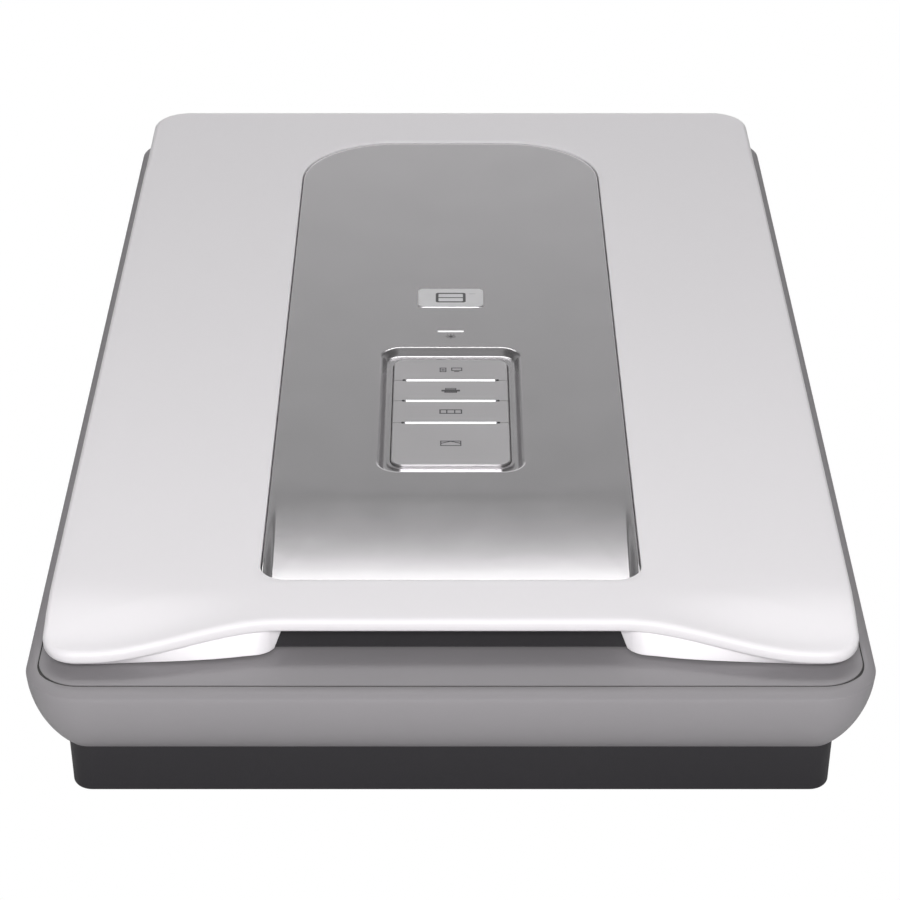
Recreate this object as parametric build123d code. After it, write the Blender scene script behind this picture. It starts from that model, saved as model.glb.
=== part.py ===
from build123d import *
import os
from math import acos, cos, pi, radians, sin, tan

# Flatbed scanner. Row frame: origin under the middle of the object on the table, +Z up,
# the user stands at -Y, +X to the user's right. All sizes in millimetres.

# ---- driving dimensions ----
WIDTH = 303.0            # across the widest line of the lower body, the crease
DEPTH = 506.0            # front to back at the crease
HEIGHT = 66.0            # table to the flat top of the lid
CREASE_Z = 51.0          # height of the crease round the lower body
CREASE_R = 21.5          # plan radius of the crease corners
CLEAR = 0.3              # gap between parts that move past each other
FIT = 0.05               # radial running clearance of shafts in holes

# ---- lower body ----
FOOT_H = 2.0
FLOOR_TOP = 4.5
WALL = 2.5
TUB_TOP = 22.4
TUB_INSET = 13.6
TUB_DRAFT = 2.0
TUB_HALF_X = WIDTH / 2 - TUB_INSET
TUB_HALF_Y = DEPTH / 2 - TUB_INSET
SEAM_HALF_X = 147.3      # line where the rim meets the deck
SEAM_FRONT = -245.5
SEAM_REAR = 240.8
SEAM_R = 16.0
RIM_Z = 52.5
DECK_Z = 52.0
DECK_T = 2.0
REAR_STEP_Z = 50.2       # rear rim, lowered so the opening lid can turn over it
BOSS_X = 124.0
BOSS_Y = (-196.0, 0.0, 196.0)
FOOT_AT = [(x, y) for x in (-112, 112) for y in (-214, 214)]
BOARD_POST_X = (-80, -18)
BOARD_POST_Y = (171, 216)

# ---- glass and its window ----
WINDOW_HALF_X = 108.0
WINDOW_FRONT = -180.0
WINDOW_REAR = 125.0
GLASS_LAP = 5.0
GLASS_T = 3.0
GLASS_TOP = 50.5

# ---- carriage and its drive ----
SCAN_HOME = -184.0       # scan line at rest
SCAN_TRAVEL = 305.0
CAR_HALF_X = 112.0
CAR_HALF_Y = 28.0
CAR_BOTTOM = 18.0
CAR_TOP = 44.0
ROD_R = 4.0
ROD_Z = 12.0
RAIL_X = -109.5
BELT_X = 24.0
BELT_R = 8.0             # pitch radius of the belt on its pulleys
BELT_T = 0.8
BELT_Z = (9.9, 15.1)
DRIVE_Y = 178.0
IDLER_Y = -222.0
GEAR_MODULE = 0.8
GEAR_TEETH = 48
PINION_TEETH = 12
GEAR_Z = (17.4, 20.4)
GEAR_CENTRES = GEAR_MODULE * (GEAR_TEETH + PINION_TEETH) / 2
MOTOR_X = BELT_X + GEAR_CENTRES

# ---- lid ----
LID_HALF_X = 145.7
LID_REAR = 252.8
LID_R = 17.0
LIP_FRONT = -224.5       # front of the lip in the middle
LIP_SWEEP = 13.1         # how much further forward the lip stands at the corners
LIP_DROP = 4.6           # how much lower it is there
LIP_T = 5.3
LID_T = 2.5
SKIRT_Z = 53.0
SKIRT_INSET = 2.5
SKIRT_T = 2.2
BAND_Y = -203.0          # behind this line the top of the lid is flat
GRIP_HALF = 62.0
GRIP_R = 10.0
HINGE_Y = 247.0
HINGE_Z = 56.0
HINGE_X = 100.0
POST_HALF = 9.0
PIN_R = 1.5
FRAME_Z = (55.2, 57.0)

# ---- grey centre panel, its thumb scoop and keys ----
PANEL_HALF = 70.0
PANEL_FRONT = -196.2
PANEL_REAR = 214.0
PANEL_REAR_R = 44.0
PANEL_FRONT_R = 10.0
PANEL_GAP = 0.4
PANEL_TOP = 65.6
PANEL_T = 2.2
SCOOP_START = -128.0
SCOOP_END = -201.0
SCOOP_FLOOR = 59.3
KEY_HALF = 23.6
KEY_ROWS = (-16.7, -35.4, -53.6, -72.5, -107.2)
KEY_TOP = 64.6
KEY_BOTTOM = 62.2
KEY_R = 5.0
BAR_HALF = 18.3
BAR_W = 1.3
POCKET_HALF = 29.5
POCKET_Y = (-115.0, -7.0)
POCKET_FLOOR = 62.8
BOARD_Z = (57.4, 59.0)


# ---- small makers ----
def block(x0, x1, y0, y1, z0, z1):
    return Pos((x0 + x1) / 2, (y0 + y1) / 2, (z0 + z1) / 2) * Box(x1 - x0, y1 - y0, z1 - z0)


def disc(x, y, radius, z0, z1):
    return Pos(x, y, (z0 + z1) / 2) * Cylinder(radius, z1 - z0)


def rod_x(y, z, radius, x0, x1):
    return Pos((x0 + x1) / 2, y, z) * Rot(0, 90, 0) * Cylinder(radius, x1 - x0)


def rod_y(x, z, radius, y0, y1):
    return Pos(x, (y0 + y1) / 2, z) * Rot(90, 0, 0) * Cylinder(radius, y1 - y0)


def slab(half_x, y0, y1, radius, z0, z1):
    outline = Pos(0, (y0 + y1) / 2, z0) * RectangleRounded(2 * half_x, y1 - y0, radius)
    return extrude(outline, z1 - z0)


def along_x(face, x0, x1):
    return extrude(Plane.YZ.offset(x0) * face, x1 - x0)


def smooth(t):
    t = min(max(t, 0.0), 1.0)
    return t * t * (3 - 2 * t)


def both_sides(shape):
    return shape + mirror(shape, Plane.YZ)


# ---- lower body ----
def rubber_feet():
    feet = Part()
    for x, y in FOOT_AT:
        foot = disc(x, y, 9, 0, FOOT_H) + disc(x, y, 3, FOOT_H, 4.0)
        feet += chamfer(foot.edges().group_by(Axis.Z)[0], 0.4)
    return feet


def socket_holes():
    holes = block(-76.3, -63.7, 225, 245, 9.3, 20.9)
    holes += block(-50.3, -39.7, 225, 245, 9.3, 20.4)
    holes += block(-28.8, -15.2, 225, 245, 9.3, 21.2)
    return holes


def lower_tub():
    top = Pos(0, 0, TUB_TOP)
    height = TUB_TOP - FOOT_H
    outer = extrude(top * RectangleRounded(2 * TUB_HALF_X, 2 * TUB_HALF_Y, 8), -height, taper=TUB_DRAFT)
    outer = fillet(outer.edges().group_by(Axis.Z)[0], 2.0)
    inside = top * RectangleRounded(2 * (TUB_HALF_X - WALL), 2 * (TUB_HALF_Y - WALL), 5.5)
    tub = outer - extrude(inside, FLOOR_TOP - TUB_TOP, taper=TUB_DRAFT)
    for y in BOSS_Y:
        for x in (-BOSS_X, BOSS_X):
            tub += disc(x, y, 4, FLOOR_TOP, TUB_TOP)
            tub -= disc(x, y, 3.3, 0, 6) + disc(x, y, 1.7, 5, TUB_TOP + 1)
    for x, y in FOOT_AT:
        tub -= disc(x, y, 3.05, 0, 4.1)
    for x in BOARD_POST_X:
        for y in BOARD_POST_Y:
            tub += disc(x, y, 3, FLOOR_TOP, 8)
            tub -= disc(x, y, 1.2, 5.5, 9)
    for y in (-150, -75, 75, 135):
        tub += block(-104, -20, y - 0.8, y + 0.8, FLOOR_TOP, 6.5)
        tub += block(40, 118, y - 0.8, y + 0.8, FLOOR_TOP, 6.5)
    return tub - socket_holes()


def body_shell():
    path = RectangleRounded(WIDTH, DEPTH, CREASE_R).wire()
    start = path @ 0
    along = path % 0
    outward = along.cross(Vector(0, 0, 1))
    plane = Plane(origin=(start.X, start.Y, CREASE_Z), x_dir=outward, z_dir=-along)
    drop = CREASE_Z - TUB_TOP
    rise = RIM_Z - CREASE_Z
    ledge = CREASE_Z - 47.6
    outline = [
        ThreePointArc((-13.2, -drop), (-4.8, -17.6), (0, 0)),
        ThreePointArc((0, 0), (-1.2, 0.85), (-4.2, rise)),
        Polyline((-4.2, rise), (-14.5, rise), (-14.5, -ledge), (-3.0, -ledge)),
        ThreePointArc((-3.0, -ledge), (-7.3, -16.3), (-15.9, 0.6 - drop)),
        Polyline((-15.9, 0.6 - drop), (-15.9, -drop), (-13.2, -drop)),
    ]
    ring = sweep(plane * make_face([edge for line in outline for edge in line.edges()]), path=Pos(0, 0, CREASE_Z) * path)
    ring -= slab(SEAM_HALF_X, SEAM_FRONT, SEAM_REAR, SEAM_R, DECK_Z - DECK_T, HEIGHT)
    ring -= block(-146, 146, SEAM_REAR, DEPTH, REAR_STEP_Z, HEIGHT)
    return ring


def post_opening(grow):
    hole = block(HINGE_X - POST_HALF - grow, HINGE_X + POST_HALF + grow, 226 - grow, 233 + grow, 0, 70)
    return both_sides(hole)


def top_frame():
    deck = slab(SEAM_HALF_X - CLEAR, SEAM_FRONT + CLEAR, SEAM_REAR - CLEAR, SEAM_R - CLEAR, DECK_Z - DECK_T, DECK_Z)
    window = slab(WINDOW_HALF_X, WINDOW_FRONT, WINDOW_REAR, 2, 40, 60)
    deck -= window
    deck = chamfer(deck.edges().group_by(Axis.Z)[-1].filter_by_position(Axis.X, -109, 109)
                   .filter_by_position(Axis.Y, -182, 127), 1.0)
    lap = GLASS_LAP + 0.3
    glass_room = slab(WINDOW_HALF_X + lap, WINDOW_FRONT - lap, WINDOW_REAR + lap, 3, 40, GLASS_TOP)
    frame = slab(WINDOW_HALF_X + 7.8, WINDOW_FRONT - 7.8, WINDOW_REAR + 7.8, 4, 46.5, DECK_Z - DECK_T)
    deck += frame
    deck -= glass_room
    for y in BOSS_Y:
        for x in (-BOSS_X, BOSS_X):
            deck += disc(x, y, 4, TUB_TOP, DECK_Z - DECK_T)
            deck -= disc(x, y, 1.35, TUB_TOP - 1, 36)
    arrow = make_face(Polyline((-104, -184), (-100, -188), (-108, -188), (-104, -184)).edges())
    deck -= extrude(Pos(0, 0, DECK_Z - 0.4) * arrow, 1)
    for step in range(20):
        tick = WINDOW_REAR - 6 - step * 15
        length = 5 if step % 2 == 0 else 3
        deck -= block(WINDOW_HALF_X + 2.5, WINDOW_HALF_X + 2.5 + length, tick - 0.25, tick + 0.25, DECK_Z - 0.3, 60)
    return deck - post_opening(CLEAR)


def scan_glass():
    lap = GLASS_LAP
    return slab(WINDOW_HALF_X + lap, WINDOW_FRONT - lap, WINDOW_REAR + lap, 2, GLASS_TOP - GLASS_T, GLASS_TOP)


def calibration_strip():
    under = GLASS_TOP - GLASS_T
    return block(-106, 106, WINDOW_FRONT - 4.8, WINDOW_FRONT - 0.4, under - 0.3, under)


def case_screws():
    screws = Part()
    for y in BOSS_Y:
        for x in (-BOSS_X, BOSS_X):
            head = disc(x, y, 3, 3.2, 6)
            head -= block(x - 2, x + 2, y - 0.4, y + 0.4, 3, 4.2) + block(x - 0.4, x + 0.4, y - 2, y + 2, 3, 4.2)
            screws += head + disc(x, y, 1.3, 6, 34)
    return screws


def post_guides():
    guide = both_sides(block(HINGE_X - 12, HINGE_X + 12, 223.5, 235.5, 27, DECK_Z - DECK_T))
    return guide - post_opening(CLEAR)


# ---- carriage drive ----
def guide_rod():
    rod = rod_y(0, ROD_Z, ROD_R, -229, 168)
    return chamfer(rod.edges().filter_by(GeomType.CIRCLE), 0.5)


def rod_holders():
    holders = Part()
    for y in (-230.5, 164.5):
        holders += block(-9, 9, y, y + 5, FLOOR_TOP, 17.4)
    return holders - rod_y(0, ROD_Z, ROD_R, -229, 168)


def slide_rail():
    rail = block(RAIL_X - 1.5, RAIL_X + 1.5, -222, 162, FLOOR_TOP, 15.6)
    for y in (-205, -105, -5, 95, 155):
        rail += block(RAIL_X - 5, RAIL_X + 5, y - 1, y + 1, FLOOR_TOP, 9)
    return rail


def gear_face(teeth, addendum, dedendum, turn):
    pitch = GEAR_MODULE * teeth / 2
    base = pitch * cos(radians(20))
    tip = pitch + addendum * GEAR_MODULE
    root = pitch - dedendum * GEAR_MODULE
    half_tooth = 0.42 * pi / teeth
    at_pitch = tan(radians(20)) - radians(20)
    flank = [(root, 0)] + [(base + (tip - base) * k / 5, k) for k in range(6)]
    side = []
    for radius, _ in flank:
        pressure = acos(min(1.0, base / max(radius, base)))
        side.append((radius, half_tooth + at_pitch - (tan(pressure) - pressure)))
    points = []
    for tooth in range(teeth):
        middle = radians(turn) + 2 * pi * tooth / teeth
        for radius, half in side:
            points.append((radius * cos(middle - half), radius * sin(middle - half)))
        for radius, half in reversed(side):
            points.append((radius * cos(middle + half), radius * sin(middle + half)))
    return make_face(Polyline(*points, close=True).edges())


def belt_pulley(x, y):
    body = disc(x, y, BELT_R - BELT_T / 2 - FIT, BELT_Z[0] - 0.5, BELT_Z[1] + 0.5)
    body += disc(x, y, BELT_R + 1.6, BELT_Z[0] - 1.2, BELT_Z[0] - 0.3)
    body += disc(x, y, BELT_R + 1.6, BELT_Z[1] + 0.3, BELT_Z[1] + 1.2)
    return body


def drive_gear():
    gear = Pos(BELT_X, DRIVE_Y, GEAR_Z[0]) * extrude(gear_face(GEAR_TEETH, 0.85, 1.3, 0), GEAR_Z[1] - GEAR_Z[0])
    gear += belt_pulley(BELT_X, DRIVE_Y) + disc(BELT_X, DRIVE_Y, 5, BELT_Z[1], GEAR_Z[1] + 1)
    for k in range(5):
        hole = Rot(0, 0, 36 + 72 * k) * Pos(13, 0, 0) * Cylinder(3.2, 20)
        gear -= Pos(BELT_X, DRIVE_Y, 27.2) * hole
    return gear - disc(BELT_X, DRIVE_Y, 2 + FIT, 0, 40)


def motor_pinion():
    turn = 180 / PINION_TEETH
    pinion = extrude(gear_face(PINION_TEETH, 0.85, 1.3, turn), GEAR_Z[1] - GEAR_Z[0] + 0.6)
    pinion = Pos(MOTOR_X, DRIVE_Y, GEAR_Z[0] - 0.3) * pinion
    return pinion + disc(MOTOR_X, DRIVE_Y, 1.25, GEAR_Z[0] - 1, 29)


def idler_pulley():
    return belt_pulley(BELT_X, IDLER_Y) - disc(BELT_X, IDLER_Y, 2 + FIT, 0, 40)


def drive_belt():
    length = DRIVE_Y - IDLER_Y
    middle = (DRIVE_Y + IDLER_Y) / 2
    outer = BELT_R + BELT_T / 2
    inner = BELT_R - BELT_T / 2
    loop = SlotCenterToCenter(length, 2 * outer) - SlotCenterToCenter(length, 2 * inner)
    return extrude(Pos(BELT_X, middle, BELT_Z[0]) * Rot(0, 0, 90) * loop, BELT_Z[1] - BELT_Z[0])


def gear_stud():
    return disc(BELT_X, DRIVE_Y, 6, FLOOR_TOP, 7) + disc(BELT_X, DRIVE_Y, 2, 7, 22)


def idler_bracket():
    plate = block(BELT_X - 9, BELT_X + 9, IDLER_Y - 8, IDLER_Y + 22, FLOOR_TOP, 6.5)
    plate -= block(BELT_X - 2, BELT_X + 2, IDLER_Y + 11, IDLER_Y + 18, 4, 7)
    return plate + disc(BELT_X, IDLER_Y, 2, 6.5, 17.2)


def motor_bracket():
    plate = block(6, 70, 154.5, 201.5, 22, 23.2)
    plate = fillet(plate.edges().filter_by(Axis.Z), 3)
    plate -= disc(MOTOR_X, DRIVE_Y, 6.5, 20, 25)
    for x, y in ((9.5, 158), (9.5, 198), (66, 158), (66, 198)):
        plate += disc(x, y, 3, FLOOR_TOP, 22)
    return plate


def drive_motor():
    can = disc(MOTOR_X, DRIVE_Y, 17.5, 24.2, 42)
    can = fillet(can.edges().group_by(Axis.Z)[-1], 1.5)
    can += block(MOTOR_X - 21, MOTOR_X + 21, DRIVE_Y - 5, DRIVE_Y + 5, 23.2, 24.2)
    can += disc(MOTOR_X, DRIVE_Y, 6, 22.2, 24.2)
    can += block(MOTOR_X + 12, MOTOR_X + 21, DRIVE_Y - 6, DRIVE_Y + 6, 26, 33)
    return can - disc(MOTOR_X, DRIVE_Y, 1.25 + FIT, 20, 30)


# ---- electronics in the lower body ----
def main_board():
    board = block(-84, -14, 166, 231, 8, 9.6)
    for x in BOARD_POST_X:
        for y in BOARD_POST_Y:
            board -= disc(x, y, 1.6, 7, 11)
    return board


def board_parts():
    parts = block(-60, -40, 180, 200, 9.6, 11.4) + block(-34, -22, 176, 190, 9.6, 11)
    parts += block(-76, -66, 176, 196, 9.6, 11) + block(-36, -20, 198, 206, 9.6, 12)
    parts += block(-62, -38, 167, 172, 9.6, 14.6)
    for k in range(4):
        parts += disc(-18, 178 + 6 * k, 2.4, 9.6, 17)
    for k in range(6):
        parts += block(-58 + 5 * k, -55 + 5 * k, 205, 207, 9.6, 10.6)
    return parts


def board_screws():
    screws = Part()
    for x in BOARD_POST_X:
        for y in BOARD_POST_Y:
            screws += disc(x, y, 2.8, 9.6, 11.4) + disc(x, y, 1.15, 5.7, 9.6)
    return screws


def usb_socket():
    case = block(-76, -64, 220.5, 239.6, 9.6, 20.6)
    case -= block(-74.2, -65.8, 226, 243, 11, 19.2)
    return case + block(-72.6, -67.4, 226, 236.6, 14.4, 15.8)


def power_socket():
    case = block(-50, -40, 221, 239.6, 9.6, 20.1)
    return case - rod_y(-45, 15, 3.4, 226, 243) + rod_y(-45, 15, 0.7, 225.5, 237.6)


def adapter_socket():
    case = block(-28.5, -15.5, 221, 239.6, 9.6, 20.9)
    return case - rod_y(-22, 15.4, 4.6, 226, 243) + block(-23.2, -20.8, 225, 236.6, 14, 16)


def ribbon_cable():
    flat = block(-59, -41, -20, 165.6, 6.6, 7.0) + block(-59, -41, 165.2, 165.6, 7.0, 13.6)
    return flat + block(-59, -41, 165.2, 167, 13.6, 14.0)


# ---- carriage ----
def carriage_housing():
    front = SCAN_HOME - CAR_HALF_Y
    rear = SCAN_HOME + CAR_HALF_Y
    box = block(-CAR_HALF_X, CAR_HALF_X, front, rear, CAR_BOTTOM, CAR_TOP)
    box = fillet(box.edges().filter_by(Axis.Z), 3)
    box -= block(2 - CAR_HALF_X, CAR_HALF_X - 2, front + 2, rear - 2, CAR_BOTTOM + 2, CAR_TOP + 1)
    for x in (-60, 60):
        box += block(x - 0.8, x + 0.8, front + 2, rear - 2, CAR_BOTTOM + 2, 22.8)
    return box


def carriage_cover():
    plate = slab(CAR_HALF_X, SCAN_HOME - CAR_HALF_Y, SCAN_HOME + CAR_HALF_Y, 3, CAR_TOP, CAR_TOP + 1.2)
    return plate - block(-107, 107, SCAN_HOME - 12.5, SCAN_HOME + 2.5, CAR_TOP - 1, CAR_TOP + 2)


def scan_lamp():
    lamp = rod_x(SCAN_HOME - 8, 41.5, 1.5, -104, 104)
    return lamp + rod_x(SCAN_HOME - 8, 41.5, 2.2, -109, -104) + rod_x(SCAN_HOME - 8, 41.5, 2.2, 104, 109)


def lamp_reflector():
    y = SCAN_HOME - 8
    trough = rod_x(y, 41.5, 4.2, -103, 103) - rod_x(y, 41.5, 3.4, -104, 104)
    return trough - block(-104, 104, y + 1, y + 6, 40, 48) - block(-104, 104, y - 6, y + 6, 43.6, 48)


def scan_mirrors():
    places = ((SCAN_HOME, 27.0, -45.0), (SCAN_HOME - 19, 30.0, 60.0), (SCAN_HOME + 16, 36.0, -70.0))
    mirrors = Part()
    for y, z, tilt in places:
        mirrors += Pos(0, y, z) * Rot(tilt, 0, 0) * Box(204, 9, 1.6)
    return mirrors


def lens_block():
    body = block(-12, 12, SCAN_HOME + 3, SCAN_HOME + 17, 20, 22) + block(-8, 8, SCAN_HOME + 5, SCAN_HOME + 15, 22, 24)
    return body + rod_y(0, 27.2, 4, SCAN_HOME + 7, SCAN_HOME + 17)


def sensor_board():
    rear = SCAN_HOME + CAR_HALF_Y - 2
    board = block(-40, 40, rear - 1.6, rear, 20.4, 34)
    return board + block(-22, 22, rear - 4.2, rear - 1.6, 24, 30.5)


def rod_bushes():
    bushes = Part()
    for y in (SCAN_HOME - CAR_HALF_Y, SCAN_HOME + CAR_HALF_Y - 12):
        bushes += block(-7.5, 7.5, y, y + 12, 6.2, CAR_BOTTOM)
    return bushes - rod_y(0, ROD_Z, ROD_R + FIT, -230, 170)


def belt_clamp():
    left = BELT_X - BELT_R
    clamp = block(left - 3.5, left + 3.5, SCAN_HOME - 6, SCAN_HOME + 6, 9.2, CAR_BOTTOM)
    gap = BELT_T / 2 + CLEAR
    return clamp - block(left - gap, left + gap, SCAN_HOME - 7, SCAN_HOME + 7, 9, BELT_Z[1] + CLEAR)


def slider_pads():
    pads = Part()
    for y in (SCAN_HOME - 20, SCAN_HOME + 20):
        pads += block(RAIL_X - 2.5, RAIL_X + 4, y - 5, y + 5, 15.9, CAR_BOTTOM)
    return pads


# ---- lid ----
def lip_y(x):
    return LIP_FRONT - LIP_SWEEP * smooth((abs(x) - 60) / 68)


def lip_z(x):
    return HEIGHT - LIP_DROP * smooth((abs(x) - 62) / 70)


def lip_section(x):
    nose = lip_y(x)
    top = lip_z(x)
    r = LIP_T / 2
    low = top - LIP_T
    lines = [
        Bezier((BAND_Y, HEIGHT), (BAND_Y - 8, HEIGHT), (nose + r + 5, top), (nose + r, top)),
        ThreePointArc((nose + r, top), (nose, top - r), (nose + r, low)),
        Line((nose + r, low), (nose + 6.5, low)),
        Line((nose + 6.5, low), (nose + 7.5, top - LID_T)),
        Bezier((nose + 7.5, top - LID_T), (nose + 9, top - LID_T), (BAND_Y - 6, HEIGHT - LID_T),
               (BAND_Y, HEIGHT - LID_T)),
        Line((BAND_Y, HEIGHT - LID_T), (BAND_Y, HEIGHT)),
    ]
    return make_face([line.edge() for line in lines])


def band_stations():
    return [60 + (LID_HALF_X - 60) * k / 8 for k in range(9)]


def front_band():
    side = loft([Plane.YZ.offset(x) * lip_section(x) for x in band_stations()])
    return both_sides(side) + along_x(lip_section(0), -60, 60)


def room_above_band():
    sections = []
    for x in band_stations():
        back = lip_y(x) + LIP_T / 2
        top = lip_z(x) - 2
        rear_top = HEIGHT - 2
        lines = [
            Bezier((BAND_Y, rear_top), (BAND_Y - 8, rear_top), (back + 5, top), (back, top)),
            Line((back, top), (-262, top)),
            Line((-262, top), (-262, 80)),
            Line((-262, 80), (BAND_Y, 80)),
            Line((BAND_Y, 80), (BAND_Y, rear_top)),
        ]
        sections.append(Plane.YZ.offset(x) * make_face([line.edge() for line in lines]))
    return both_sides(loft(sections))


def plan(inset, front):
    edge = LID_HALF_X - inset
    return slab(edge, front, LID_REAR - inset, LID_R - inset, SKIRT_Z, HEIGHT)


def skirt_plan(inset):
    edge = LID_HALF_X - SKIRT_INSET - inset
    rear = LID_REAR - SKIRT_INSET - inset
    r = LID_R - SKIRT_INSET - inset
    front = -232.6 + inset
    stations = [62 + (edge - r - 62) * k / 6 for k in range(7)]
    curve = [(x, -224.0 + inset - 8.6 * sin(pi / 2 * (x - 62) / (edge - r - 62))) for x in stations]
    lines = [
        Line((0, curve[0][1]), curve[0]),
        Spline(*curve, tangents=[(1, -0.2), (1, 0)]),
        RadiusArc((edge - r, front), (edge, front + r), -r),
        Line((edge, front + r), (edge, rear - r)),
        RadiusArc((edge, rear - r), (edge - r, rear), -r),
        Line((edge - r, rear), (0, rear)),
        Line((0, rear), (0, curve[0][1])),
    ]
    half = extrude(Pos(0, 0, SKIRT_Z) * make_face([line.edge() for line in lines]), HEIGHT - SKIRT_Z - 3)
    return both_sides(half)


def grip_cutter():
    face = Pos(0, (SKIRT_Z + GRIP_R) - 5.5) * Rectangle(2 * (GRIP_HALF + GRIP_R), 11)
    for x in (-GRIP_HALF - GRIP_R, GRIP_HALF + GRIP_R):
        face -= Pos(x, SKIRT_Z + GRIP_R) * Circle(GRIP_R)
    return extrude(Plane.XZ.offset(215) * face, 30)


def lid_screw_places():
    return [(x, y) for x in (-128, 128) for y in (-190, 20, 216)]


def lid_cover():
    plate = plan(0, BAND_Y - 40) & block(-200, 200, BAND_Y, 300, HEIGHT - LIP_T, HEIGHT)
    outer = plate.edges().filter_by_position(Axis.Y, BAND_Y + 0.1, 300).filter_by(Axis.Z, reverse=True)
    plate = fillet(outer, 2.5)
    plate -= plan(4.9, BAND_Y - 40) & block(-200, 200, BAND_Y - 1, 300, 40, HEIGHT - LID_T)
    corners = slab(LID_HALF_X, LIP_FRONT - LIP_SWEEP, LID_REAR, LID_R, 40, 80)
    cover = plate + (front_band() & corners)
    skirt = skirt_plan(0) - skirt_plan(SKIRT_T)
    skirt -= grip_cutter()
    for x in (-HINGE_X, HINGE_X):
        skirt -= block(x - 14, x + 14, 240, 260, 50, HEIGHT - LIP_T)
    cover += skirt - room_above_band()
    cover -= slab(PANEL_HALF, PANEL_FRONT, PANEL_REAR, PANEL_FRONT_R, 40, 80) & block(-200, 200, -300, 100, 0, 99)
    cover -= slab(PANEL_HALF, PANEL_FRONT, PANEL_REAR, PANEL_REAR_R, 40, 80) & block(-200, 200, 0, 300, 0, 99)
    for x, y in lid_screw_places():
        cover += disc(x, y, 3.5, FRAME_Z[1], HEIGHT - LID_T) - disc(x, y, 1.3, FRAME_Z[1] - 1, 62)
    return cover


def scoop_void(grow, end):
    top = PANEL_TOP + 1
    floor = SCOOP_FLOOR - grow
    curve = [
        Line((SCOOP_START + grow, top), (SCOOP_START + grow, PANEL_TOP - grow)),
        Spline((SCOOP_START + grow, PANEL_TOP - grow), (-142, 65.1 - grow), (-162, 63.6 - grow),
               (-182, 61.5 - grow), (end, floor), tangents=[(-1, 0), (-1, -0.14)]),
        Line((end, floor), (end, top)),
        Line((end, top), (SCOOP_START + grow, top)),
    ]
    profile = along_x(make_face([line.edge() for line in curve]), -80, 80)
    wide = 68.7 + grow * 0.5
    slope = (top - floor) * tan(radians(20))
    ends = make_face(Polyline((-wide, top), (wide, top), (wide - slope, floor - 1), (slope - wide, floor - 1),
                              close=True).edges())
    return profile & extrude(Plane.XZ.offset(100) * ends, 120)


def panel_plan(z0, z1):
    half = PANEL_HALF - PANEL_GAP
    front = PANEL_FRONT + PANEL_GAP
    rear = PANEL_REAR - PANEL_GAP
    ahead = slab(half, front, rear, PANEL_FRONT_R - PANEL_GAP, z0, z1) & block(-200, 200, -300, 60, 0, 99)
    behind = slab(half, front, rear, PANEL_REAR_R - PANEL_GAP, z0, z1) & block(-200, 200, 60, 300, 0, 99)
    return ahead + behind


def pocket_void():
    middle = (POCKET_Y[0] + POCKET_Y[1]) / 2
    length = POCKET_Y[1] - POCKET_Y[0]
    top = Pos(0, middle, PANEL_TOP) * RectangleRounded(2 * POCKET_HALF, length, 9)
    foot = Pos(0, middle, POCKET_FLOOR) * RectangleRounded(2 * POCKET_HALF - 8, length - 8, 6)
    return loft([foot, top])


def centre_panel():
    panel = panel_plan(PANEL_TOP - PANEL_T, PANEL_TOP)
    under_bar = HEIGHT - LID_T - 0.2
    pan = scoop_void(2.0, SCOOP_END - 1.8)
    panel += pan & block(-69.6, 69.6, -300, 0, 50, under_bar)
    panel += pan & panel_plan(under_bar, PANEL_TOP)
    panel -= scoop_void(0, SCOOP_END)
    panel += slab(POCKET_HALF + 1.5, POCKET_Y[0] - 1.5, POCKET_Y[1] + 1.5, 8, 60.8, PANEL_TOP - PANEL_T)
    panel -= pocket_void()
    panel -= slab(KEY_HALF + 0.4, KEY_ROWS[-1] - 0.4, KEY_ROWS[0] + 0.4, KEY_R + 0.4, 50, 70)
    panel -= slab(5.6, 7.2, 8.4, 0.5, 60, 70)
    return panel


def key_surround():
    outer = slab(KEY_HALF + 1.7, KEY_ROWS[-1] - 1.7, KEY_ROWS[0] + 1.7, KEY_R + 1.7, POCKET_FLOOR, POCKET_FLOOR + 0.7)
    return outer - slab(KEY_HALF + 0.4, KEY_ROWS[-1] - 0.4, KEY_ROWS[0] + 0.4, KEY_R + 0.4, 50, 70)


def key(index):
    rear = KEY_ROWS[index]
    front = KEY_ROWS[index + 1]
    half_gap = 0.18
    whole = slab(KEY_HALF, KEY_ROWS[-1], KEY_ROWS[0], KEY_R, KEY_BOTTOM, KEY_TOP)
    top_edges = whole.edges().group_by(Axis.Z)[-1]
    whole = fillet(top_edges, 0.5)
    y0 = front + (half_gap if index < 3 else -1)
    y1 = rear - (half_gap if index > 0 else -1)
    cap = whole & block(-40, 40, y0, y1, 50, 80)
    bar_room = BAR_W / 2 + 0.3
    for row in KEY_ROWS[1:4]:
        cap -= block(-BAR_HALF - 0.4, BAR_HALF + 0.4, row - bar_room, row + bar_room, 50, 80)
    middle = (front + rear) / 2
    for x in (-3, 3):
        cap += disc(x, middle, 1.5, 61.3, KEY_BOTTOM)
    return cap


def key_separators():
    bars = Part()
    for row in KEY_ROWS[1:4]:
        bar = block(-BAR_HALF, BAR_HALF, row - BAR_W / 2, row + BAR_W / 2, BOARD_Z[1], KEY_TOP + 0.15)
        bars += fillet(bar.edges().group_by(Axis.Z)[-1], 0.3)
    return bars


def key_board():
    return slab(22, KEY_ROWS[-1] + 2, KEY_ROWS[0] - 2, 2, BOARD_Z[0], BOARD_Z[1])


def key_switches():
    switches = Part()
    for rear, front in zip(KEY_ROWS[:-1], KEY_ROWS[1:]):
        y = (front + rear) / 2
        switches += block(-4, 4, y - 3, y + 3, BOARD_Z[1], BOARD_Z[1] + 0.8)
        switches += disc(0, y, 1.7, BOARD_Z[1] + 0.8, BOARD_Z[1] + 1.2)
    return switches


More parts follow.
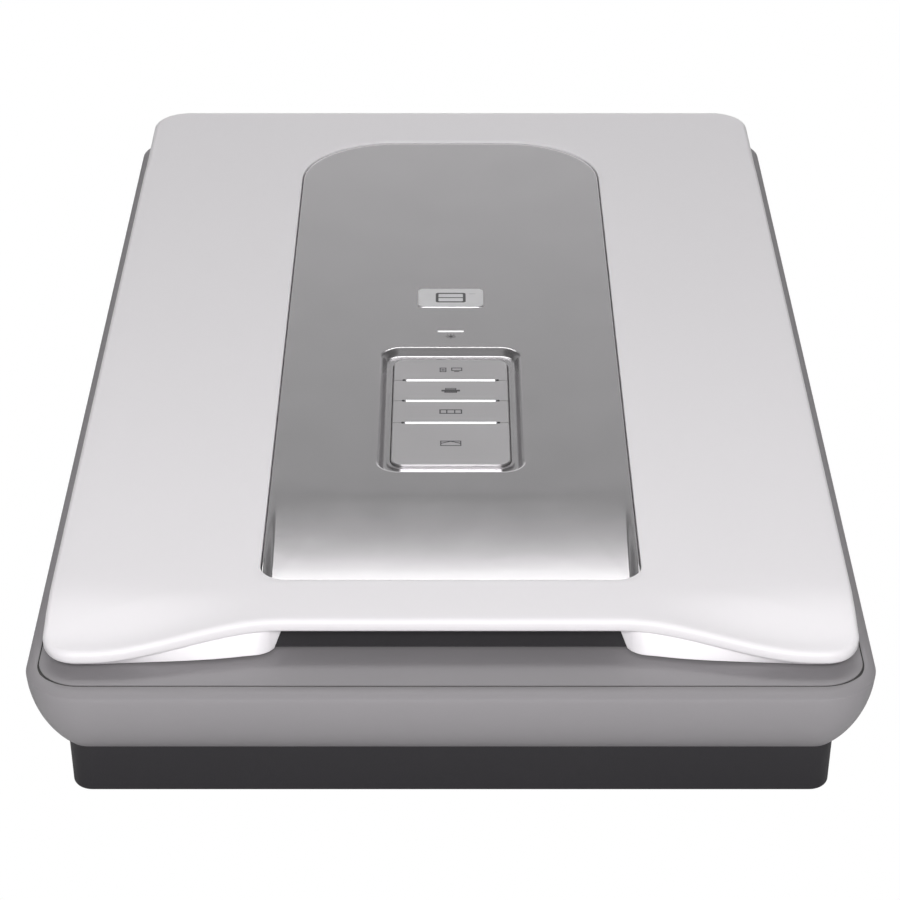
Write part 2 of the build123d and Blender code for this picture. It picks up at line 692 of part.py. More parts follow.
def badge_plate():
    plate = slab(14.2, 31.2, 49.0, 2.4, PANEL_TOP, HEIGHT)
    return chamfer(plate.edges().group_by(Axis.Z)[-1], 0.2) - badge_mark(HEIGHT + 1)


def badge_mark(top):
    frame = slab(6.5, 35.2, 44.9, 1.2, HEIGHT - 0.2, top)
    frame -= slab(5.3, 36.4, 43.7, 0.6, 60, 70)
    return frame + block(-5.4, 5.4, 39.6, 40.5, HEIGHT - 0.2, top)


def badge_emblem():
    return badge_mark(HEIGHT - 0.05)


def power_lens():
    return slab(5.5, 7.3, 8.3, 0.4, PANEL_TOP - PANEL_T, PANEL_TOP + 0.1)


def lid_inner_frame():
    edge = LID_HALF_X - SKIRT_INSET - SKIRT_T - 0.4
    frame = slab(edge, -219, 246.2, 11, FRAME_Z[0], FRAME_Z[1])
    wall = slab(edge, -219, 246.2, 11, FRAME_Z[1], 60) - slab(edge - 1.8, -217.2, 244.4, 9.2, 50, 70)
    frame += wall - block(-200, 200, -260, -180, FRAME_Z[1], 70)
    frame -= slab(36, 8, 118, 3, 50, 60)
    frame -= block(-73, 73, -230, -213.1, 50, 70)
    for x in (-100, -50, 50, 100):
        frame += block(x - 0.8, x + 0.8, -205, 200, FRAME_Z[1], 57.9) - block(-69, 69, -205, 0, 50, 70)
    for x, y in lid_screw_places():
        frame -= disc(x, y, 1.7, 50, 62)
    inner = POST_HALF + 0.4
    for x in (-HINGE_X, HINGE_X):
        frame -= block(x - inner - 4, x + inner + 4, 222, 260, 50, 70)
    for x in (HINGE_X - inner - 3.6, HINGE_X + inner):
        lug = rod_x(HINGE_Y, HINGE_Z, 3.2, x, x + 3.6) + block(x, x + 3.6, 221.5, HINGE_Y, FRAME_Z[0], 58.6)
        frame += both_sides(lug)
    pins = rod_x(HINGE_Y, HINGE_Z, PIN_R, HINGE_X - inner - 5, HINGE_X + inner + 5)
    return frame - both_sides(pins)


def grip_wall():
    lean = make_face(Polyline((-221.2, SKIRT_Z), (-219.2, SKIRT_Z), (-207.4, 61), (-207.4, 63.2), (-209.2, 63.2),
                              (-209.2, 61.4), close=True).edges())
    return along_x(lean, -72, 72)


def document_mat():
    mat = slab(112, WINDOW_FRONT - 4, WINDOW_REAR + 6, 4, 52.4, FRAME_Z[0])
    return chamfer(mat.edges().group_by(Axis.Z)[0], 0.5)


def adapter_diffuser():
    return slab(39, 5, 121, 3, FRAME_Z[1], 58)


def adapter_lamps():
    lamps = Part()
    for x in (-42.5, 42.5):
        lamps += rod_y(x, 59.2, 1.4, 8, 118) + rod_y(x, 59.2, 2.0, 4, 8) + rod_y(x, 59.2, 2.0, 118, 122)
    return lamps


def adapter_reflector():
    plate = slab(46, 6, 120, 2, 61.2, 62.0)
    for x in (-46, 45.2):
        plate += block(x, x + 0.8, 12, 114, 58.4, 61.2)
    return plate


def inverter_board():
    board = block(62, 96, 30, 84, 57.9, 59.3)
    return board + block(66, 80, 36, 52, 59.3, 62.6) + block(84, 92, 40, 46, 59.3, 62) + disc(72, 66, 4, 59.3, 62.4)


def lid_screws():
    screws = Part()
    for x, y in lid_screw_places():
        screws += disc(x, y, 2.8, 53.7, FRAME_Z[0]) + disc(x, y, 1.25, FRAME_Z[0], 61.5)
    return screws


def hinge_pins():
    reach = POST_HALF + 0.4 + 3.6
    return both_sides(rod_x(HINGE_Y, HINGE_Z, PIN_R, HINGE_X - reach, HINGE_X + reach))


def hinge_posts():
    neck = make_face(Polyline((226, 51), (226, 57), (239, 59.4), (HINGE_Y, 59.4), (HINGE_Y, 52.6), (233, 52.6),
                              (233, 51), close=True).edges())
    left = HINGE_X - POST_HALF
    right = HINGE_X + POST_HALF
    post = block(left, right, 226, 233, 8, 51) + along_x(neck, left, right)
    post += rod_x(HINGE_Y, HINGE_Z, 3.4, left, right)
    post += block(left - 2.4, right + 2.4, 224, 232.8, 8, 10)
    post -= rod_x(HINGE_Y, HINGE_Z, PIN_R + FIT, left - 1, right + 1)
    return both_sides(post)


NODES = {
    "rubber_feet": rubber_feet,
    "lower_tub": lower_tub,
    "body_shell": body_shell,
    "top_frame": top_frame,
    "scan_glass": scan_glass,
    "calibration_strip": calibration_strip,
    "case_screws": case_screws,
    "post_guides": post_guides,
    "guide_rod": guide_rod,
    "rod_holders": rod_holders,
    "slide_rail": slide_rail,
    "drive_gear": drive_gear,
    "motor_pinion": motor_pinion,
    "idler_pulley": idler_pulley,
    "drive_belt": drive_belt,
    "gear_stud": gear_stud,
    "idler_bracket": idler_bracket,
    "motor_bracket": motor_bracket,
    "drive_motor": drive_motor,
    "main_board": main_board,
    "board_parts": board_parts,
    "board_screws": board_screws,
    "usb_socket": usb_socket,
    "power_socket": power_socket,
    "adapter_socket": adapter_socket,
    "ribbon_cable": ribbon_cable,
    "carriage_housing": carriage_housing,
    "carriage_cover": carriage_cover,
    "scan_lamp": scan_lamp,
    "lamp_reflector": lamp_reflector,
    "scan_mirrors": scan_mirrors,
    "lens_block": lens_block,
    "sensor_board": sensor_board,
    "rod_bushes": rod_bushes,
    "belt_clamp": belt_clamp,
    "slider_pads": slider_pads,
    "lid_cover": lid_cover,
    "centre_panel": centre_panel,
    "lid_inner_frame": lid_inner_frame,
    "grip_wall": grip_wall,
    "document_mat": document_mat,
    "adapter_diffuser": adapter_diffuser,
    "adapter_lamps": adapter_lamps,
    "adapter_reflector": adapter_reflector,
    "key_surround": key_surround,
    "key_separators": key_separators,
    "key_board": key_board,
    "key_switches": key_switches,
    "badge_plate": badge_plate,
    "badge_emblem": badge_emblem,
    "power_lens": power_lens,
    "inverter_board": inverter_board,
    "lid_screws": lid_screws,
    "hinge_pins": hinge_pins,
    "hinge_posts": hinge_posts,
}

os.makedirs("parts", exist_ok=True)
for name, maker in NODES.items():
    export_step(maker(), f"parts/{name}.step")
for index, name in enumerate(("scan_key", "copy_key", "film_key", "mail_key")):
    export_step(key(index), f"parts/{name}.step")
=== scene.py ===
import math

import bmesh
import bpy
from mathutils import Matrix, Vector


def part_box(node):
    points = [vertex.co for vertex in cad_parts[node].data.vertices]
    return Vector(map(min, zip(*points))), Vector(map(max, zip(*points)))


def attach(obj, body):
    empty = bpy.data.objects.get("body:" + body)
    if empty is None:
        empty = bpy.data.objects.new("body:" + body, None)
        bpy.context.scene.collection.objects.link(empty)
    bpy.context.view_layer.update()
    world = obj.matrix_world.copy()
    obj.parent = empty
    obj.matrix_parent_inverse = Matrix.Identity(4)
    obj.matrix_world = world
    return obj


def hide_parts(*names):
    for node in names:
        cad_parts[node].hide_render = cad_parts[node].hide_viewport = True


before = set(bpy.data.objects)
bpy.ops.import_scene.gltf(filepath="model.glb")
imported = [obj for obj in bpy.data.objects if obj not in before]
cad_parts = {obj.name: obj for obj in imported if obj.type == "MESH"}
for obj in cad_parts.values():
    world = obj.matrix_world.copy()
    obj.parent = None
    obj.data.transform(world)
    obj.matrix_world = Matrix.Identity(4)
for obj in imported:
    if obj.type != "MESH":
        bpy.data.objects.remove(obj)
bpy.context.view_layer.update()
MM = 0.001


# ---- places taken from the frame ----
def corner_mm(node):
    low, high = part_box(node)
    return low / MM, high / MM


SHELL_LOW, SHELL_HIGH = corner_mm("body_shell")
DECK_LOW, DECK_HIGH = corner_mm("top_frame")
LID_LOW, LID_HIGH = corner_mm("lid_cover")
PANEL_LOW, PANEL_HIGH = corner_mm("centre_panel")
SURROUND_LOW, SURROUND_HIGH = corner_mm("key_surround")

BODY_HALF = SHELL_HIGH.x
BODY_FRONT = SHELL_LOW.y
BODY_REAR = -SHELL_LOW.y
BODY_FOOT = SHELL_LOW.z
CREASE_Z = 51.0            # the edge where the shell's side meets its rim
CREASE_R = 21.5
RIM_Z = SHELL_HIGH.z
REAR_STEP_Z = 50.2         # the rim's height between the rear corners
REAR_STEP_HALF = 146
SEAM_HALF = DECK_HIGH.x + 0.3
SEAM_FRONT = DECK_LOW.y - 0.3
SEAM_REAR = DECK_HIGH.y + 0.3
SEAM_R = 16.0
GROOVE = 1.0               # how far the shell stands back from the seam

LID_TOP = LID_HIGH.z
LID_T = 2.5                # thickness of the lid's cover
LID_HALF = LID_HIGH.x
LID_REAR = LID_HIGH.y
LID_R = 17.0
LID_FRONT_R = 12.5
NOSE_R = 1.9               # rounding of the lid's edge at the front and sides
LIP_R = 2.65               # half the edge's thickness, and its rounding at the rear
REAR_NOSE_Y = 180
LIP_FRONT = -224.5
LIP_SWEEP = LIP_FRONT - LID_LOW.y
LIP_DROP = 5.4
BAND_Y = -203.0            # in front of this the lid starts to fall to its corners

SKIRT_Z = LID_LOW.z
SKIRT_T = 2.2
SKIRT_TOP_INSET = 2.5
SKIRT_SIDE_INSET = 4.5
SKIRT_REAR_INSET = 3.2
SKIRT_REAR_Y = 200
SKIRT_DEEPEST = 5.0        # how far in the skirt's inside may reach beside the inner frame
FRONT_Y = -190             # in front of this lies the lid's front edge
FRONT_HALF = 128
GRIP_HALF = 62.35
CURL_R = 8.0
NOTCH_Y = 235
NOTCH = (86, 114)

PANEL_GAP = 0.4
PANEL_TOP = PANEL_HIGH.z
PANEL_T = 1.7
PANEL_HALF = PANEL_HIGH.x
OPENING_FRONT = -196.2
OPENING_REAR = 214.0
PANEL_FRONT = OPENING_FRONT + PANEL_GAP
PANEL_REAR = PANEL_HIGH.y
PANEL_FRONT_R = 9.6
PANEL_REAR_R = 43.6
SCOOP_START = -128.0
SCOOP_END_Y = -200.2
SCOOP_EASE = 12.0
SCOOP_DIP = 0.06
SCOOP_FALL = 0.105
SCOOP_RUN = 72.0
SCOOP_BEND = 2.5
POCKET_FLOOR = SURROUND_LOW.z
POCKET_WALL = 3.6
KEY_ROWS = (-16.7, -35.4, -53.6, -72.5, -107.2)
MARK_SINK, MARK_RISE = 0.05, 0.06


def smooth(t):
    t = min(max(t, 0.0), 1.0)
    return t * t * (3 - 2 * t)


# ---- mesh helpers ----
def new_piece(name, bm, smooth_shade=True):
    mesh = bpy.data.meshes.new(name)
    bm.to_mesh(mesh)
    bm.free()
    piece = bpy.data.objects.new(name, mesh)
    bpy.context.scene.collection.objects.link(piece)
    if smooth_shade:
        mesh.shade_smooth()
    return piece


def outward(bm):
    bmesh.ops.remove_doubles(bm, verts=bm.verts, dist=1e-7)
    bmesh.ops.recalc_face_normals(bm, faces=bm.faces)


def closed_loop_edges(ring):
    edges = []
    for here, there in zip(ring, ring[1:] + ring[:1]):
        edges.append(next(e for e in here.link_edges if e.other_vert(here) == there))
    return edges


def grow_ring(bm, ring, places):
    """Extrudes a closed ring of vertices once and sets the new ring's places, in millimetres."""
    grown = bmesh.ops.extrude_edge_only(bm, edges=closed_loop_edges(ring))
    fresh = {g for g in grown["geom"] if isinstance(g, bmesh.types.BMVert)}
    ring = [next(e.other_vert(v) for e in v.link_edges if e.other_vert(v) in fresh) for v in ring]
    for vert, place in zip(ring, places):
        vert.co = Vector(place) * MM
    return ring


def ring_surface(rings):
    """A skin through closed rings of equal point counts, each a list of places in millimetres."""
    bm = bmesh.new()
    made = bmesh.ops.create_circle(bm, segments=len(rings[0]), radius=1.0)
    first = sorted(made["verts"], key=lambda v: v.index)
    for vert, place in zip(first, rings[0]):
        vert.co = Vector(place) * MM
    ring = first
    for places in rings[1:]:
        ring = grow_ring(bm, ring, places)
    return bm, first, ring


def block(bm, low, high):
    """One box between two corners in millimetres."""
    made = bmesh.ops.create_cube(bm, size=1.0)
    centre = (Vector(low) + Vector(high)) / 2
    size = Vector(high) - Vector(low)
    for vert in made["verts"]:
        vert.co = Vector([(centre[i] + vert.co[i] * size[i]) * MM for i in range(3)])
    return made["verts"]


# ---- outlines ----
# Points lie close together where the skirt ends beside the grip, and in pairs at the hinge notches.
GRIP_END = [57.0, 61.0, 62.3, 62.4, 62.5, 62.7, 63.0, 63.5, 64.2, 65.0, 66.0, 67.2, 68.5, 70.0, 71.5, 73.5]
FRONT_STEPS = [52 * k / 8 for k in range(9)] + GRIP_END + [76 + 52.1 * k / 18 for k in range(19)]
REAR_STEPS = [0, 20, 40, 60, 75, 85.8, 86.2, 95, 105, 113.8, 114.2, 121, 128.1]
CORNER_STEPS = 16
SIDE_STEPS = 40


def mirrored(steps):
    """The same steps on both sides of the middle, as fractions from -1 to 1."""
    top = steps[-1]
    return [-s / top for s in steps[:0:-1]] + [s / top for s in steps]


ACROSS = mirrored(FRONT_STEPS)
BEHIND = mirrored(REAR_STEPS)


def corner_points(cx, cy, radius, start):
    """The inner points of a quarter turn with their inward directions."""
    points = []
    for k in range(1, CORNER_STEPS):
        a = math.radians(start + 90 * k / CORNER_STEPS)
        points.append((cx + radius * math.cos(a), cy + radius * math.sin(a), -math.cos(a), -math.sin(a)))
    return points


def rounded_loop(half, front, rear, front_r, rear_r):
    """Points (x, y, nx, ny) round a rounded rectangle, anticlockwise from its front left; n is inwards."""
    fx, fy = half - front_r, front + front_r
    rx, ry = half - rear_r, rear - rear_r
    side = [fy + (ry - fy) * k / SIDE_STEPS for k in range(SIDE_STEPS + 1)]
    loop = [(fx * f, front, 0, 1) for f in ACROSS]
    loop += corner_points(fx, fy, front_r, -90)
    loop += [(half, y, -1, 0) for y in side]
    loop += corner_points(rx, ry, rear_r, 0)
    loop += [(-rx * f, rear, 0, -1) for f in BEHIND]
    loop += corner_points(-rx, ry, rear_r, 90)
    loop += [(-half, y, 1, 0) for y in reversed(side)]
    loop += corner_points(-fx, fy, front_r, 180)
    return loop


def value_at(value, x, y):
    return value(x, y) if callable(value) else value


def ring(loop, inset, z):
    """Places on a loop, set in by a distance and at a height; either may change from point to point."""
    places = []
    for x, y, nx, ny in loop:
        d = value_at(inset, x, y)
        px, py = x + nx * d, y + ny * d
        places.append((px, py, value_at(z, px, py)))
    return places


def flat_ring(loop, inset):
    return [(x, y) for x, y, _ in ring(loop, inset, 0)]


def between(inner, outer, t):
    """Places at a share of the way from one ring to another."""
    return [(a[0] + (b[0] - a[0]) * t, a[1] + (b[1] - a[1]) * t) for a, b in zip(inner, outer)]


def lifted(flat, z):
    return [(x, y, z(x, y)) for x, y in flat]


def closed_skin(name, rings, sharp=35):
    """A closed solid skin: the last ring joins the first one again."""
    bm, first, last = ring_surface(rings)
    bmesh.ops.bridge_loops(bm, edges=closed_loop_edges(first) + closed_loop_edges(last))
    outward(bm)
    piece = new_piece(name, bm)
    piece.data.set_sharp_from_angle(angle=math.radians(sharp))
    return piece


# ---- the lid's white cover ----
def lip_y(x):
    return LIP_FRONT - LIP_SWEEP * smooth((abs(x) - 60) / 68)


def lip_drop(x):
    return LIP_DROP * smooth((abs(x) - 62) / 70)


def lid_top(x, y):
    """Height of the lid's top: flat, then falling to the front corners."""
    reach = BAND_Y - (lip_y(x) + NOSE_R)
    return LID_TOP - lip_drop(x) * smooth((BAND_Y - y) / reach)


def lid_edge_loop():
    loop = rounded_loop(LID_HALF, LID_LOW.y, LID_REAR, LID_FRONT_R, LID_R)
    moved = []
    for x, y, nx, ny in loop:
        at_front = ny == 1 and y < 0
        moved.append((x, lip_y(x) if at_front else y, nx, ny))
    return moved


def skirt_top(x, y):
    return lid_top(x, y) - 2 * LIP_R


def skirt_foot(x, y):
    """Lower edge of the skirt: open at the front's middle for the fingers, and notched at the hinges."""
    open_for_fingers = y < FRONT_Y and abs(x) < GRIP_HALF
    notched_for_hinge = y > NOTCH_Y and NOTCH[0] <= abs(x) <= NOTCH[1]
    return skirt_top(x, y) if open_for_fingers or notched_for_hinge else SKIRT_Z


def on_front(x, y):
    return y < FRONT_Y and abs(x) < FRONT_HALF


def lid_underside(x, y):
    return lid_top(x, y) - LID_T


def grip_curl(x, y):
    """How far the skirt's ends turn back beside the finger opening."""
    if y > FRONT_Y:
        return 0.0
    turn = min(max((GRIP_HALF + CURL_R - abs(x)) / CURL_R, 0.0), 1.0)
    return CURL_R * (1 - math.sqrt(1 - turn ** 2))


def skirt_inset(level):
    """How far the skirt's outside is set in, at a share of the way from its top to its foot."""
    def inset(x, y):
        top = SKIRT_TOP_INSET
        foot = SKIRT_SIDE_INSET if y < SKIRT_REAR_Y else SKIRT_REAR_INSET
        if on_front(x, y):
            foot = 6.7 * smooth((abs(x) - 76) / 46) - 2.2
        share = level * (skirt_top(x, y) - skirt_foot(x, y)) / (skirt_top(x, y) - SKIRT_Z)
        return top + (foot - top) * share + grip_curl(x, y)
    return inset


def skirt_ring(loop, level, depth=0.0):
    """One ring of the skirt at a share of its height, at a depth inside its outer face."""
    inset = skirt_inset(level)
    places = []
    for x, y, nx, ny in loop:
        outside = inset(x, y)
        wall = depth if on_front(x, y) else min(depth, max(SKIRT_DEEPEST - outside, 0.4))
        d = outside + wall
        top, foot = skirt_top(x, y), skirt_foot(x, y)
        places.append((x + nx * d, y + ny * d, top + (foot - top) * level))
    return places


def nose_radius(y):
    """Radius of the lid's rounded edge: tighter at the front and the sides than at the rear."""
    return LIP_R if y > REAR_NOSE_Y else NOSE_R


def nose_rings(edge):
    """The rounded edge of the lid, from its top round to its underside."""
    end = nose_start(edge)
    rings = []
    for degrees in range(15, 181, 15):
        a = math.radians(degrees)
        places = []
        for (x, y, nx, ny), (ex, ey) in zip(edge, end):
            radius = nose_radius(y)
            inset = radius * (1 - math.sin(a))
            fall = radius * (1 - math.cos(a)) + (2 * (LIP_R - radius) if degrees > 90 else 0.0)
            places.append((x + nx * inset, y + ny * inset, lid_top(ex, ey) - fall))
        rings.append(places)
    return rings


def nose_start(edge):
    return [(x + nx * nose_radius(y), y + ny * nose_radius(y)) for x, y, nx, ny in edge]


SKIRT_RINGS = ((0.0, 0.0), (0.3, 0.0), (0.6, 0.0), (0.9, 0.0), (0.97, 0.05), (1.0, 0.3), (1.0, 1.9),
               (0.97, SKIRT_T), (0.5, SKIRT_T), (0.0, SKIRT_T))   # share of the height, depth in


def make_lid_cover():
    edge = lid_edge_loop()
    hole = rounded_loop(PANEL_HALF + PANEL_GAP, OPENING_FRONT, OPENING_REAR, 10.0, 44.0)
    rings = [ring(hole, 0, LID_TOP - LID_T), ring(hole, 0, LID_TOP - 0.4), ring(hole, -0.12, LID_TOP - 0.12)]
    start, end = flat_ring(hole, -0.4), nose_start(edge)
    for k in range(17):
        rings.append(lifted(between(start, end, k / 16), lid_top))
    rings += nose_rings(edge)
    rings += [skirt_ring(edge, level, depth) for level, depth in SKIRT_RINGS]
    rings.append(lifted(flat_ring(edge, 7.5), lambda x, y: lid_top(x, y) - 2 * LIP_R + 0.4))
    back = flat_ring(edge, 8.3)
    rings.append(lifted(back, lid_underside))
    for share in (0.25, 0.5, 0.75):
        rings.append(lifted(between(back, flat_ring(hole, 0), share), lid_underside))
    piece = closed_skin("lid_white_cover", rings)
    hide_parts("lid_cover")
    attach(piece, "lid")
    return piece


# ---- the grey centre panel with its scoop and key pocket ----
def scoop_depth(y):
    """Depth of the thumb scoop: an eased dip that falls ever steeper towards the grip bar."""
    run = SCOOP_START - y
    if run <= 0:
        return 0.0
    share = min(run / SCOOP_EASE, 1.0)
    dip = SCOOP_DIP * (SCOOP_EASE * (share ** 3 - share ** 4 / 2) + max(run - SCOOP_EASE, 0.0))
    return dip + SCOOP_FALL * SCOOP_RUN / SCOOP_BEND * (run / SCOOP_RUN) ** SCOOP_BEND


def inside_by(x, y, half, front, rear, front_r, rear_r):
    """How far a point lies inside a rounded rectangle; below zero outside it."""
    radius = front_r if y < (front + rear) / 2 else rear_r
    middle = (front + rear) / 2
    qx = abs(x) - (half - radius)
    qy = abs(y - middle) - ((rear - front) / 2 - radius)
    outside = math.hypot(max(qx, 0), max(qy, 0))
    return radius - outside - min(max(qx, qy), 0)


def in_panel(x, y):
    return inside_by(x, y, PANEL_HALF, PANEL_FRONT, PANEL_REAR, PANEL_FRONT_R, PANEL_REAR_R)


def panel_z(x, y):
    """Height of the panel's top: flat, with the scoop at the front and the soft-edged key pocket."""
    z = PANEL_TOP - scoop_depth(y) * smooth((69.1 - abs(x)) / 3.2)
    pocket = inside_by(x, y, 29.5, -115.0, -7.0, 9.0, 9.0)
    if pocket > 0:
        z = PANEL_TOP - (PANEL_TOP - POCKET_FLOOR) * smooth(pocket / POCKET_WALL)
    if y < -180 and in_panel(x, y) < 0.05:
        z = min(z, LID_TOP - LID_T - 0.25)     # tucked under the lid's cover in front of the opening
    return z


def make_centre_panel():
    outer = rounded_loop(PANEL_HALF, SCOOP_END_Y, PANEL_REAR, 4.0, PANEL_REAR_R)
    key_hole = rounded_loop(24.0, KEY_ROWS[-1] - 0.4, KEY_ROWS[0] + 0.4, 5.4, 5.4)
    foot = rounded_loop(25.5, -111.0, -11.0, 6.0, 6.0)
    brim = rounded_loop(30.3, -115.8, -6.2, 9.8, 9.8)
    rings = [ring(key_hole, 0, POCKET_FLOOR - 1.8), ring(key_hole, 0, POCKET_FLOOR - 0.05)]
    foot_xy, brim_xy, outer_xy = flat_ring(foot, 0), flat_ring(brim, 0), flat_ring(outer, 0.45)
    tops = [ring(foot, 0, POCKET_FLOOR)]
    for k in range(1, 13):
        tops.append(lifted(between(foot_xy, brim_xy, k / 12), panel_z))
    shares = [0.88 * k / 34 for k in range(1, 35)] + [0.88 + 0.12 * k / 14 for k in range(1, 15)]
    for share in shares:
        tops.append(lifted(between(brim_xy, outer_xy, share), panel_z))
    rings += tops
    for inset, fall in ((0.15, 0.12), (0.0, 0.45), (0.0, 1.8)):
        rings.append(ring(outer, inset, lambda x, y: panel_z(x, y) - fall))
    for places in reversed(tops[1:]):
        rings.append([(x, y, z - PANEL_T) for x, y, z in places])
    piece = closed_skin("grey_centre_panel", rings, 50)
    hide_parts("centre_panel")
    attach(piece, "lid")
    return piece


# ---- the body's grey shell ----
def bow(start, middle, end, count):
    """Points on the arc through three points of a section."""
    (x1, y1), (x2, y2), (x3, y3) = start, middle, end
    d = 2 * (x1 * (y2 - y3) + x2 * (y3 - y1) + x3 * (y1 - y2))
    s1, s2, s3 = x1 ** 2 + y1 ** 2, x2 ** 2 + y2 ** 2, x3 ** 2 + y3 ** 2
    cx = (s1 * (y2 - y3) + s2 * (y3 - y1) + s3 * (y1 - y2)) / d
    cy = (s1 * (x3 - x2) + s2 * (x1 - x3) + s3 * (x2 - x1)) / d
    radius = math.hypot(x1 - cx, y1 - cy)
    a, b = math.atan2(y1 - cy, x1 - cx), math.atan2(y3 - cy, x3 - cx)
    b += 2 * math.pi * round((a - b) / (2 * math.pi))
    turn = [a + (b - a) * k / count for k in range(count + 1)]
    return [(cx + radius * math.cos(t), cy + radius * math.sin(t)) for t in turn]


def rim_height(z):
    """The rim's height: a little lower behind the seam."""
    def height(x, y):
        behind = y > SEAM_REAR - 0.1 and abs(x) < REAR_STEP_HALF
        return min(z, REAR_STEP_Z) if behind else z
    return height


# Sections of the shell as (inset, height): the bowl's outside, the rim, the groove, the bowl's inside.
BOWL_OUTSIDE = bow((13.2, BODY_FOOT), (4.8, 33.4), (0.0, CREASE_Z - 0.25), 18)
RIM_SECTION = bow((0.12, CREASE_Z + 0.1), (1.3, CREASE_Z + 0.9), (4.2, RIM_Z), 7)
GROOVE_SECTION = ((-GROOVE - 0.4, RIM_Z), (-GROOVE - 0.1, RIM_Z - 0.12), (-GROOVE, RIM_Z - 0.45))
BOWL_INSIDE = [(14.5, 49.95), (14.5, 47.6), (3.2, 47.6)]
BOWL_INSIDE += bow((3.4, 47.0), (7.4, 34.7), (15.9, BODY_FOOT + 0.6), 10) + [(15.9, BODY_FOOT)]


def make_body_shell():
    outer = rounded_loop(BODY_HALF, BODY_FRONT, BODY_REAR, CREASE_R, CREASE_R)
    seam = rounded_loop(SEAM_HALF, SEAM_FRONT, SEAM_REAR, SEAM_R, SEAM_R)
    rings = [ring(outer, inset, z) for inset, z in BOWL_OUTSIDE]
    rings += [ring(outer, inset, rim_height(z)) for inset, z in RIM_SECTION]
    rings += [ring(seam, inset, rim_height(z)) for inset, z in GROOVE_SECTION]
    rings.append(ring(seam, -GROOVE, 50.0))
    rings += [ring(outer, inset, z) for inset, z in BOWL_INSIDE]
    piece = closed_skin("body_grey_shell", rings, 32)
    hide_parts("body_shell")
    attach(piece, "base")
    return piece


def make_seam_shade_strip():
    """A dark strip laid in the groove between the deck and the shell: painted shade standing in for the
    groove's shadow.
    """
    seam = rounded_loop(SEAM_HALF, SEAM_FRONT, SEAM_REAR, SEAM_R, SEAM_R)
    section = ((0.25, 50.1), (0.25, 51.8), (0.02 - GROOVE, 51.8), (0.02 - GROOVE, 50.1))
    rings = [ring(seam, inset, z) for inset, z in section]
    piece = closed_skin("seam_shade_strip", rings)
    piece.data.materials.append(FINISHES["rubber"])
    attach(piece, "base")


# ---- symbols on the keys and the small lamp mark ----
def bar(bm, x0, x1, y0, y1, z0, z1):
    block(bm, (x0, y0, z0), (x1, y1, z1))


def frame_marks(bm, x0, x1, y0, y1, line, z0, z1):
    """An open rectangle of four thin bars."""
    bar(bm, x0, x1, y0, y0 + line, z0, z1)
    bar(bm, x0, x1, y1 - line, y1, z0, z1)
    bar(bm, x0, x0 + line, y0 + line, y1 - line, z0, z1)
    bar(bm, x1 - line, x1, y0 + line, y1 - line, z0, z1)


def page_to_screen(bm, z0, z1, y):
    frame_marks(bm, -4.6, -1.8, y - 1.9, y + 1.9, 0.45, z0, z1)
    bar(bm, -3.9, -2.5, y + 0.3, y + 0.7, z0, z1)
    bar(bm, -3.9, -2.5, y - 0.7, y - 0.3, z0, z1)
    frame_marks(bm, 0.2, 4.8, y - 0.9, y + 1.9, 0.45, z0, z1)
    bar(bm, 1.4, 3.6, y - 1.8, y - 1.35, z0, z1)


def copier(bm, z0, z1, y):
    frame_marks(bm, -2.3, 2.3, y + 0.5, y + 2.0, 0.45, z0, z1)
    bar(bm, -3.8, 3.8, y - 0.9, y + 0.5, z0, z1)
    frame_marks(bm, -2.6, 2.6, y - 2.0, y - 0.9, 0.45, z0, z1)


def film_strip(bm, z0, z1, y):
    frame_marks(bm, -4.6, 4.6, y - 1.8, y + 1.8, 0.55, z0, z1)
    for x in (-1.6, 1.6):
        bar(bm, x - 0.25, x + 0.25, y - 1.25, y + 1.25, z0, z1)


def envelope(bm, z0, z1, y):
    frame_marks(bm, -4.2, 4.2, y - 2.1, y + 2.1, 0.45, z0, z1)
    for side in (-1, 1):
        made = block(bm, (-2.3, -0.22, z0), (2.3, 0.22, z1))
        turn = Matrix.Rotation(math.radians(-side * 24), 3, "Z")
        bmesh.ops.rotate(bm, verts=made, cent=(0, 0, 0), matrix=turn)
        bmesh.ops.translate(bm, verts=made, vec=Vector((side * 1.9, y + 0.85, 0)) * MM)


def make_key_marks():
    drawings = (page_to_screen, copier, film_strip, envelope)
    bodies = ("scan_key", "copy_key", "film_key", "mail_key")
    for draw, body, rear, front in zip(drawings, bodies, KEY_ROWS, KEY_ROWS[1:]):
        top = corner_mm(body)[1].z
        bm = bmesh.new()
        draw(bm, top - MARK_SINK, top + MARK_RISE, (rear + front) / 2)
        outward(bm)
        piece = new_piece(body + "_symbol", bm, smooth_shade=False)
        piece.data.materials.append(FINISHES["chip_black"])
        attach(piece, body)


def make_lamp_mark():
    """A small sun below the lamp's line."""
    bm = bmesh.new()
    z0, z1 = PANEL_TOP - MARK_SINK, PANEL_TOP + MARK_RISE
    disc, centre_y = 0.9 * MM, 3.0
    made = bmesh.ops.create_cone(bm, cap_ends=True, segments=24, radius1=disc, radius2=disc, depth=0.11 * MM)
    bmesh.ops.translate(bm, verts=made["verts"], vec=Vector((0, centre_y, (z0 + z1) / 2)) * MM)
    for k in range(8):
        made = block(bm, (1.35, -0.18, z0), (2.1, 0.18, z1))
        turn = Matrix.Rotation(math.radians(45 * k), 3, "Z")
        bmesh.ops.rotate(bm, verts=made, cent=(0, 0, 0), matrix=turn)
        bmesh.ops.translate(bm, verts=made, vec=Vector((0, centre_y, 0)) * MM)
    outward(bm)
    piece = new_piece("lamp_mark", bm, smooth_shade=False)
    piece.data.materials.append(FINISHES["chip_black"])
    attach(piece, "lid")


